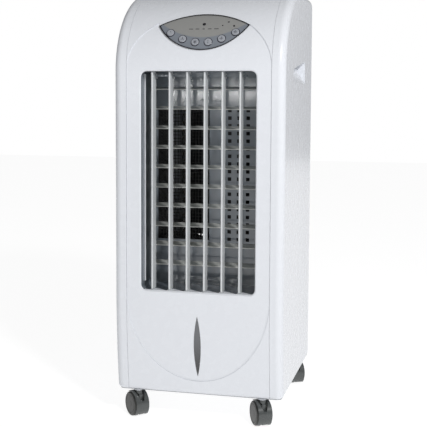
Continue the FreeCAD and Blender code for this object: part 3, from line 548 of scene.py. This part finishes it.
# ---- modelling with operators ---------------------------------------------------------------------
class Bench:
    """Adds primitives, shapes them in edit mode and finishes them."""

    @staticmethod
    def start(name: str, add: Callable[[], object]) -> bpy.types.Object:
        """Deselect everything, add a primitive and name it.

        Args:
            name: The piece's name.
            add: Calls the operator that adds the primitive.

        Returns:
            The new object, active and selected.
        """
        bpy.ops.object.select_all(action="DESELECT")
        add()
        piece = bpy.context.active_object
        piece.name = name
        piece.data.name = name
        return piece

    @staticmethod
    def box(name: str, low: Sequence[float], high: Sequence[float]) -> bpy.types.Object:
        """Add a box between two corners, with its place in its mesh."""
        centre = [(a + b) / 2 for a, b in zip(low, high)]
        size = [b - a for a, b in zip(low, high)]
        piece = Bench.start(name, lambda: bpy.ops.mesh.primitive_cube_add(size=1.0, location=centre))
        piece.scale = size
        Bench.settle(piece)
        return piece

    @staticmethod
    def tube(name: str, centre: Point, radius: float, length: float, turn: Point = (0.0, 0.0, 0.0),
             sides: int = 32, filled: bool = True) -> bpy.types.Object:
        """Add a cylinder centred on a point, with its place in its mesh."""
        fill = "NGON" if filled else "NOTHING"
        piece = Bench.start(name, lambda: bpy.ops.mesh.primitive_cylinder_add(
            vertices=sides, radius=radius, depth=length, location=centre, rotation=turn, end_fill_type=fill))
        Bench.settle(piece)
        return piece

    @staticmethod
    def settle(piece: bpy.types.Object) -> None:
        """Move the object's place, turn and size into its mesh."""
        bpy.ops.object.select_all(action="DESELECT")
        piece.select_set(True)
        bpy.context.view_layer.objects.active = piece
        bpy.ops.object.transform_apply(location=True, rotation=True, scale=True)

    @staticmethod
    def pick(piece: bpy.types.Object, mode: str, test: Callable[[object], bool]) -> None:
        """Go to edit mode with the faces or edges that pass a test selected.

        Args:
            piece: The object to edit.
            mode: FACE or EDGE.
            test: Says which faces or edges to select.
        """
        bpy.context.view_layer.objects.active = piece
        bpy.ops.object.mode_set(mode="EDIT")
        bpy.ops.mesh.select_mode(type=mode)
        bpy.ops.mesh.select_all(action="DESELECT")
        bpy.ops.object.mode_set(mode="OBJECT")
        items = piece.data.polygons if mode == "FACE" else piece.data.edges
        for item in items:
            item.select = test(item)
        bpy.ops.object.mode_set(mode="EDIT")

    @staticmethod
    def leave() -> None:
        """Back to object mode."""
        bpy.ops.object.mode_set(mode="OBJECT")

    @staticmethod
    def modify(piece: bpy.types.Object, kind: str, **settings: object) -> None:
        """Add one modifier and apply it.

        Args:
            piece: The object to change.
            kind: The modifier's type.
            **settings: Its properties.
        """
        bpy.ops.object.select_all(action="DESELECT")
        piece.select_set(True)
        bpy.context.view_layer.objects.active = piece
        modifier = piece.modifiers.new(kind.title(), kind)
        for key, value in settings.items():
            setattr(modifier, key, value)
        bpy.ops.object.modifier_apply(modifier=modifier.name)

    @staticmethod
    def soften(piece: bpy.types.Object, angle: float = 35.0) -> None:
        """Shade a piece smooth, with its sharp edges kept."""
        bpy.ops.object.select_all(action="DESELECT")
        piece.select_set(True)
        bpy.context.view_layer.objects.active = piece
        bpy.ops.object.shade_smooth_by_angle(angle=math.radians(angle))

    @staticmethod
    def join(name: str, pieces: list[bpy.types.Object]) -> bpy.types.Object:
        """Join pieces into one object."""
        bpy.ops.object.select_all(action="DESELECT")
        for piece in pieces:
            piece.select_set(True)
        bpy.context.view_layer.objects.active = pieces[0]
        bpy.ops.object.join()
        pieces[0].name = name
        pieces[0].data.name = name
        return pieces[0]


# ---- sub-assemblies ------------------------------------------------------------------------------
@dataclass
class OutletGuard:
    """Woven wire guard across the outlet window."""

    wardrobe: Wardrobe
    columns: int = 17
    rows: int = 38
    wire_r: float = 0.00045
    rim: float = 0.0028
    rim_round: float = 0.0004
    layer_gap: float = 0.9
    sides: int = 6

    def build(self) -> bpy.types.Object:
        """Model the wires and the rim, and put them in the place of the CAD guard."""
        low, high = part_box("outlet_guard")
        y_mid = (low.y + high.y) / 2
        wires = [self._wire(low, high, y_mid, upright) for upright in (True, False)]
        piece = Bench.join("outlet_wire_guard", [self._rim(low, high)] + wires)
        self.wardrobe.dress(piece, Slot.WIRE)
        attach(piece, "cabinet")
        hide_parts("outlet_guard")
        return piece

    def _wire(self, low: Vector, high: Vector, y_mid: float, upright: bool) -> bpy.types.Object:
        """Model one wire of a layer and repeat it across the window."""
        inner = self.rim / 2
        if upright:
            count, span, length = self.columns, high.x - low.x, high.z - low.z - self.rim
            pitch = (span - self.rim) / (count + 1)
            start = (low.x + inner + pitch, y_mid - self.wire_r * self.layer_gap, (low.z + high.z) / 2)
            turn, step = (0.0, 0.0, 0.0), (pitch, 0.0, 0.0)
        else:
            count, span, length = self.rows, high.z - low.z, high.x - low.x - self.rim
            pitch = (span - self.rim) / (count + 1)
            start = ((low.x + high.x) / 2, y_mid + self.wire_r * self.layer_gap, low.z + inner + pitch)
            turn, step = (0.0, math.pi / 2, 0.0), (0.0, 0.0, pitch)
        wire = Bench.tube("wire", start, self.wire_r, length, turn, self.sides)
        Bench.modify(wire, "ARRAY", count=count, use_relative_offset=False, use_constant_offset=True,
                     constant_offset_displace=step)
        return wire

    def _rim(self, low: Vector, high: Vector) -> bpy.types.Object:
        """Model the rim: a plate, inset and opened, with rounded edges."""
        rim = Bench.box("guard_rim", low, high)
        Bench.pick(rim, "FACE", lambda face: abs(face.normal.y) > 0.9)
        bpy.ops.mesh.inset(thickness=self.rim)
        bpy.ops.mesh.bridge_edge_loops()
        Bench.leave()
        Bench.modify(rim, "BEVEL", width=self.rim_round, segments=2, limit_method="ANGLE")
        return rim


@dataclass
class CoolingPad:
    """Corrugated cellulose pad: a stack of waved sheets."""

    wardrobe: Wardrobe
    sheets: int = 26
    wave: float = 0.0075
    points: int = 96
    swing: float = 0.40
    slant: float = 0.6
    depth_share: float = 0.96
    height_share: float = 0.985
    paper: float = 0.0007

    def build(self) -> bpy.types.Object:
        """Model one waved sheet, repeat it and close the pad's edge."""
        low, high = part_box("cooling_pad")
        pitch = (high.x - low.x) / self.sheets
        sheet = Bench.start("pad_sheet", lambda: bpy.ops.mesh.primitive_grid_add(
            x_subdivisions=2, y_subdivisions=self.points, size=1.0))
        sheet.rotation_euler = (0.0, math.pi / 2, 0.0)
        Bench.settle(sheet)
        depth, height = high.y - low.y, high.z - low.z
        amplitude = pitch * self.swing
        for vertex in sheet.data.vertices:
            along, across = vertex.co.y, vertex.co.z
            phase = 2 * math.pi * (along * height / self.wave / 2 + across * self.slant)
            vertex.co = Vector((low.x + pitch / 2 + amplitude * math.sin(phase),
                                (low.y + high.y) / 2 + across * depth * self.depth_share,
                                (low.z + high.z) / 2 + along * height * self.height_share))
        Bench.modify(sheet, "ARRAY", count=self.sheets, use_relative_offset=False,
                     use_constant_offset=True, constant_offset_displace=(pitch, 0.0, 0.0))
        Bench.modify(sheet, "SOLIDIFY", thickness=self.paper, offset=0.0)
        self.wardrobe.dress(sheet, Slot.PAD)
        sheet.name = "corrugated_pad"
        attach(sheet, "rear_cassette")
        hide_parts("cooling_pad")
        return sheet


@dataclass
class DustNet:
    """Fine net stretched behind the bars of the rear grille."""

    wardrobe: Wardrobe
    pitch: float = 0.0042
    thread: float = 0.00035
    margin: float = 0.009
    pad_gap: float = 0.0012

    def build(self) -> bpy.types.Object:
        """Model the net as two layers of flat threads."""
        low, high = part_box("dust_filter")
        y_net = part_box("pad_frame")[1].y + self.pad_gap
        x0, x1 = low.x + self.margin, high.x - self.margin
        z0, z1 = low.z + self.margin, high.z - self.margin
        layers = []
        for upright in (True, False):
            if upright:
                count = int((x1 - x0) / self.pitch)
                corner = (x0 + self.thread, y_net + self.thread, z1)
                thread = Bench.box("net_thread", (x0, y_net, z0), corner)
                step = (self.pitch, 0.0, 0.0)
            else:
                count = int((z1 - z0) / self.pitch)
                corner = (x1, y_net + self.thread * 2, z0 + self.thread)
                thread = Bench.box("net_thread", (x0, y_net + self.thread, z0), corner)
                step = (0.0, 0.0, self.pitch)
            Bench.modify(thread, "ARRAY", count=count, use_relative_offset=False,
                         use_constant_offset=True, constant_offset_displace=step)
            layers.append(thread)
        net = Bench.join("dust_net", layers)
        self.wardrobe.dress(net, Slot.FAN, GrainedPlastic("net_thread", (0.06, 0.065, 0.07),
                                                          (0.12, 0.12, 0.12), 0.6))
        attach(net, "rear_cassette")
        return net


class Icon(Enum):
    """Generic symbols on the push buttons."""

    POWER = "power"
    SPEED = "speed"
    COOL = "cool"
    SWING = "swing"
    TIMER = "timer"
    MODE = "mode"


@dataclass
class Controls:
    """Collars and symbols of the buttons, lamps, light slits and the receiver window."""

    wardrobe: Wardrobe
    frame: dict
    crown_run: float = 0.168
    crown_rise: float = 0.140
    ring_r: float = 0.0067
    ring_wire: float = 0.00062
    ring_drop: float = 0.0014
    symbol_half: float = 0.0030
    stroke_half: float = 0.00032
    stroke_start: float = 0.0005
    slit_half: float = 0.0006
    fine_round: float = 0.0001

    def build(self) -> None:
        """Add the rings and symbols to the buttons, and the lamps to the face."""
        ink = Moulding("button_ink", (0.035, 0.035, 0.05), (0.02, 0.02, 0.03), 0.3, 0.05)
        for index, icon in enumerate(Icon, start=1):
            face = self._button_face(index)
            mark = Bench.join(f"button_mark_{index}", self._symbol(icon))
            collar = self._ring(f"button_collar_{index}")
            collar.data.transform(Matrix.Translation((0.0, 0.0, -self.ring_drop)))
            for piece, body in ((mark, f"button_{index}"), (collar, "cabinet")):
                piece.data.transform(face)
                Bench.soften(piece)
                self.wardrobe.dress(piece, Slot.BEZEL, ink)
                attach(piece, body)
        self._lamps()
        log.info("controls: %d buttons marked", len(Icon))

    @staticmethod
    def _pose(origin: Vector, normal: Vector) -> Matrix:
        """Return a matrix with its Z along a normal and its X across the cabinet."""
        side = Vector((1.0, 0.0, 0.0))
        up = normal.cross(side)
        return Matrix((
            (side.x, up.x, normal.x, origin.x),
            (side.y, up.y, normal.y, origin.y),
            (side.z, up.z, normal.z, origin.z),
            (0.0, 0.0, 0.0, 1.0)))

    def _button_face(self, index: int) -> Matrix:
        """Return the frame of a button's outer face.

        Args:
            index: The button's number.

        Returns:
            A matrix with its Z out of the button and its origin in the middle of the face.
        """
        joint = next(j for j in self.frame["joints"] if j["name"] == f"button_{index}_press")
        normal = -Vector(joint["axis"]).normalized()
        corners = [vertex.co for vertex in self.frame["nodes"][f"button_{index}"].data.vertices]
        top = max(corner.dot(normal) for corner in corners)
        low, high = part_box(f"button_{index}")
        middle = (low + high) / 2
        return self._pose(middle + normal * (top - middle.dot(normal)), normal)

    def _crown(self, x: float, z: float, proud: float) -> Matrix:
        """Return a matrix whose Z points out of the crown at a place on it."""
        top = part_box("front_panel")[1].z
        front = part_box("left_side_shell")[0].y
        share = (z - top + self.crown_rise) / self.crown_rise
        y = front + self.crown_run * (1 - math.sqrt(1 - share * share))
        normal = Vector((0.0, (y - front - self.crown_run) / self.crown_run ** 2,
                         share / self.crown_rise)).normalized()
        return self._pose(Vector((x, y, z)) + normal * proud, normal)

    def _stroke(self, low: Sequence[float], high: Sequence[float]) -> bpy.types.Object:
        """Model one raised stroke of a symbol, lying flat around the origin."""
        stroke = Bench.box("stroke", (*low, -self.fine_round), (*high, self.ring_wire * 0.5))
        Bench.modify(stroke, "BEVEL", width=self.fine_round, segments=2)
        return stroke

    def _symbol(self, icon: Icon) -> list[bpy.types.Object]:
        """Model a button's symbol from short strokes around the origin."""
        rays = {Icon.POWER: 1, Icon.SPEED: 3, Icon.COOL: 6, Icon.SWING: 2, Icon.TIMER: 4, Icon.MODE: 5}
        strokes = []
        for index in range(rays[icon]):
            bar = self._stroke((-self.stroke_half, self.stroke_start), (self.stroke_half, self.symbol_half))
            bar.data.transform(Matrix.Rotation(2 * math.pi * index / rays[icon], 4, "Z"))
            strokes.append(bar)
        return strokes

    def _ring(self, name: str) -> bpy.types.Object:
        """Model the collar around a button's hole, lying flat around the origin."""
        return Bench.start(name, lambda: bpy.ops.mesh.primitive_torus_add(
            major_radius=self.ring_r, minor_radius=self.ring_wire, major_segments=48, minor_segments=8))

    def _lamps(self) -> None:
        """Add the receiver window, the three lamps and the light slits."""
        low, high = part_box("control_face")
        glass = Moulding("receiver_glass", (0.012, 0.010, 0.014), (0.008, 0.007, 0.010), 0.08, 0.03, 1.0)
        middle_x, height = (low.x + high.x) / 2, high.z - low.z
        spots = [("receiver_window", middle_x, low.z + height * 0.72, 0.0030, glass)]
        for index, (x, z, radius) in enumerate(((0.031, 0.68, 0.0013), (0.040, 0.78, 0.0016),
                                                (0.050, 0.66, 0.0018)), start=1):
            spots.append((f"status_lamp_{index}", middle_x + x, low.z + height * z, radius, glass))
        for name, x, z, radius, finish in spots:
            dot = Bench.start(name, lambda r=radius: bpy.ops.mesh.primitive_uv_sphere_add(
                segments=24, ring_count=12, radius=r))
            dot.data.transform(Matrix.Diagonal((1.0, 1.0, 0.25, 1.0)))
            dot.data.transform(self._crown(x, z, -0.0002))
            Bench.soften(dot, 60.0)
            self.wardrobe.dress(dot, Slot.BEZEL, finish)
            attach(dot, "cabinet")
        self._dashes(middle_x, low.z + height * 0.58)

    def _dashes(self, middle_x: float, z: float) -> None:
        """Add the row of light slits under the receiver window."""
        slit = Moulding("light_slit", (0.06, 0.06, 0.065), (0.04, 0.04, 0.045), 0.2, 0.05, 0.5)
        dashes = []
        for offset, width in ((-0.0205, 0.0066), (-0.0100, 0.0060), (0.0005, 0.0040), (0.0105, 0.0060),
                              (0.0215, 0.0075)):
            dash = Bench.box("dash", (-width / 2, -self.slit_half, -self.fine_round * 2),
                             (width / 2, self.slit_half, self.fine_round))
            Bench.modify(dash, "BEVEL", width=self.fine_round, segments=2)
            dash.data.transform(self._crown(middle_x + offset, z, 0.0))
            dashes.append(dash)
        row = Bench.join("light_slits", dashes)
        self.wardrobe.dress(row, Slot.BEZEL, slit)
        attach(row, "cabinet")


# ---- studio ------------------------------------------------------------------------------------------
@dataclass
class Studio:
    """Pale floor, soft light and the camera."""

    azimuth: float = 13.51
    elevation: float = 4.70
    roll: float = 0.318
    distance: float = 1.671
    aim_z: float = 0.393
    lens: float = 79.486
    sensor: float = 36.0
    shift: tuple[float, float] = (-0.01311, -0.07845)
    floor_size: float = 14.0
    room_light: float = 0.29
    dim_share: float = 0.25
    dim_until: float = -0.9
    full_from: float = 0.1

    def camera(self) -> None:
        """Set the camera on its bearing."""
        azimuth, elevation, roll = (math.radians(v) for v in (self.azimuth, self.elevation, self.roll))
        back = Vector((math.sin(azimuth) * math.cos(elevation), -math.cos(azimuth) * math.cos(elevation),
                       math.sin(elevation)))
        right = Vector((math.cos(azimuth), math.sin(azimuth), 0.0))
        up = back.cross(right)
        right, up = (right * math.cos(roll) + up * math.sin(roll),
                     up * math.cos(roll) - right * math.sin(roll))
        place = Vector((0.0, 0.0, self.aim_z)) + back * self.distance
        data = bpy.data.cameras.new("camera")
        data.lens = self.lens
        data.sensor_width = self.sensor
        data.shift_x, data.shift_y = self.shift
        camera = bpy.data.objects.new("camera", data)
        camera.matrix_world = Matrix((
            (right.x, up.x, back.x, place.x),
            (right.y, up.y, back.y, place.y),
            (right.z, up.z, back.z, place.z),
            (0.0, 0.0, 0.0, 1.0)))
        bpy.context.scene.collection.objects.link(camera)
        bpy.context.scene.camera = camera

    def floor(self) -> None:
        """Lay the pale floor."""
        floor = Bench.start("studio_floor", lambda: bpy.ops.mesh.primitive_plane_add(
            size=self.floor_size))
        graph = Graph("studio_paper")
        cloud = graph.noise(2.0, 3.0)
        material = graph.shader({
            "Base Color": graph.mix(cloud, (0.30, 0.30, 0.30), (0.32, 0.32, 0.32)),
            "Roughness": cloud * 0.1 + 0.8,
            "Emission Color": (1.0, 1.0, 1.0, 1.0),
            "Emission Strength": 0.88,
        })
        floor.data.materials.append(material)

    def lights(self) -> None:
        """Hang the two soft boxes."""
        boxes = [
            ("key", (1.45, -1.80, 1.75), (0.30, 0.30), 41.0),
            ("strip", (-0.56, -2.20, 0.566), (0.42, 0.020), 0.7),
        ]
        for name, place, size, power in boxes:
            data = bpy.data.lights.new(name, "AREA")
            data.shape = "RECTANGLE"
            data.size, data.size_y = size
            data.energy = power
            light = bpy.data.objects.new(name, data)
            light.location = place
            direction = Vector((0.0, 0.0, 0.4)) - Vector(place)
            light.rotation_euler = direction.to_track_quat("-Z", "Y").to_euler()
            bpy.context.scene.collection.objects.link(light)

    def room(self) -> None:
        """Set the surroundings: white to the camera, and dimmer light from the left."""
        world = bpy.data.worlds.new("pale_room")
        world.use_nodes = True
        tree = world.node_tree
        room = tree.nodes["Background"]
        room.inputs["Color"].default_value = (1.0, 1.0, 1.0, 1.0)
        bearing = tree.nodes.new("ShaderNodeTexCoord")
        split = tree.nodes.new("ShaderNodeSeparateXYZ")
        shade = tree.nodes.new("ShaderNodeMapRange")
        shade.inputs["From Min"].default_value = self.dim_until
        shade.inputs["From Max"].default_value = self.full_from
        shade.inputs["To Min"].default_value = self.room_light * self.dim_share
        shade.inputs["To Max"].default_value = self.room_light
        tree.links.new(bearing.outputs["Generated"], split.inputs[0])
        tree.links.new(split.outputs["X"], shade.inputs["Value"])
        tree.links.new(shade.outputs["Result"], room.inputs["Strength"])
        paper = tree.nodes.new("ShaderNodeBackground")
        paper.inputs["Color"].default_value = (1.0, 1.0, 1.0, 1.0)
        paper.inputs["Strength"].default_value = 1.0
        path = tree.nodes.new("ShaderNodeLightPath")
        chooser = tree.nodes.new("ShaderNodeMixShader")
        tree.links.new(path.outputs["Is Camera Ray"], chooser.inputs["Fac"])
        tree.links.new(room.outputs["Background"], chooser.inputs[1])
        tree.links.new(paper.outputs["Background"], chooser.inputs[2])
        tree.links.new(chooser.outputs["Shader"], tree.nodes["World Output"].inputs["Surface"])
        scene = bpy.context.scene
        scene.world = world
        scene.view_settings.view_transform = "Standard"

    def build(self) -> None:
        """Build the whole studio."""
        self.camera()
        self.floor()
        self.lights()
        self.room()
        log.info("studio ready")


def main() -> None:
    """Build the looks around the frame."""
    logging.basicConfig(level=logging.INFO, format="%(name)s: %(message)s")
    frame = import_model()
    Studio().build()
    wardrobe = Wardrobe()
    wardrobe.dress_frame(frame)
    guard = OutletGuard(wardrobe).build()
    log.info("guard: %d faces", len(guard.data.polygons))
    pad = CoolingPad(wardrobe).build()
    log.info("pad: %d faces", len(pad.data.polygons))
    net = DustNet(wardrobe).build()
    log.info("net: %d faces", len(net.data.polygons))
    Controls(wardrobe, frame).build()


if __name__ == "__main__":
    main()
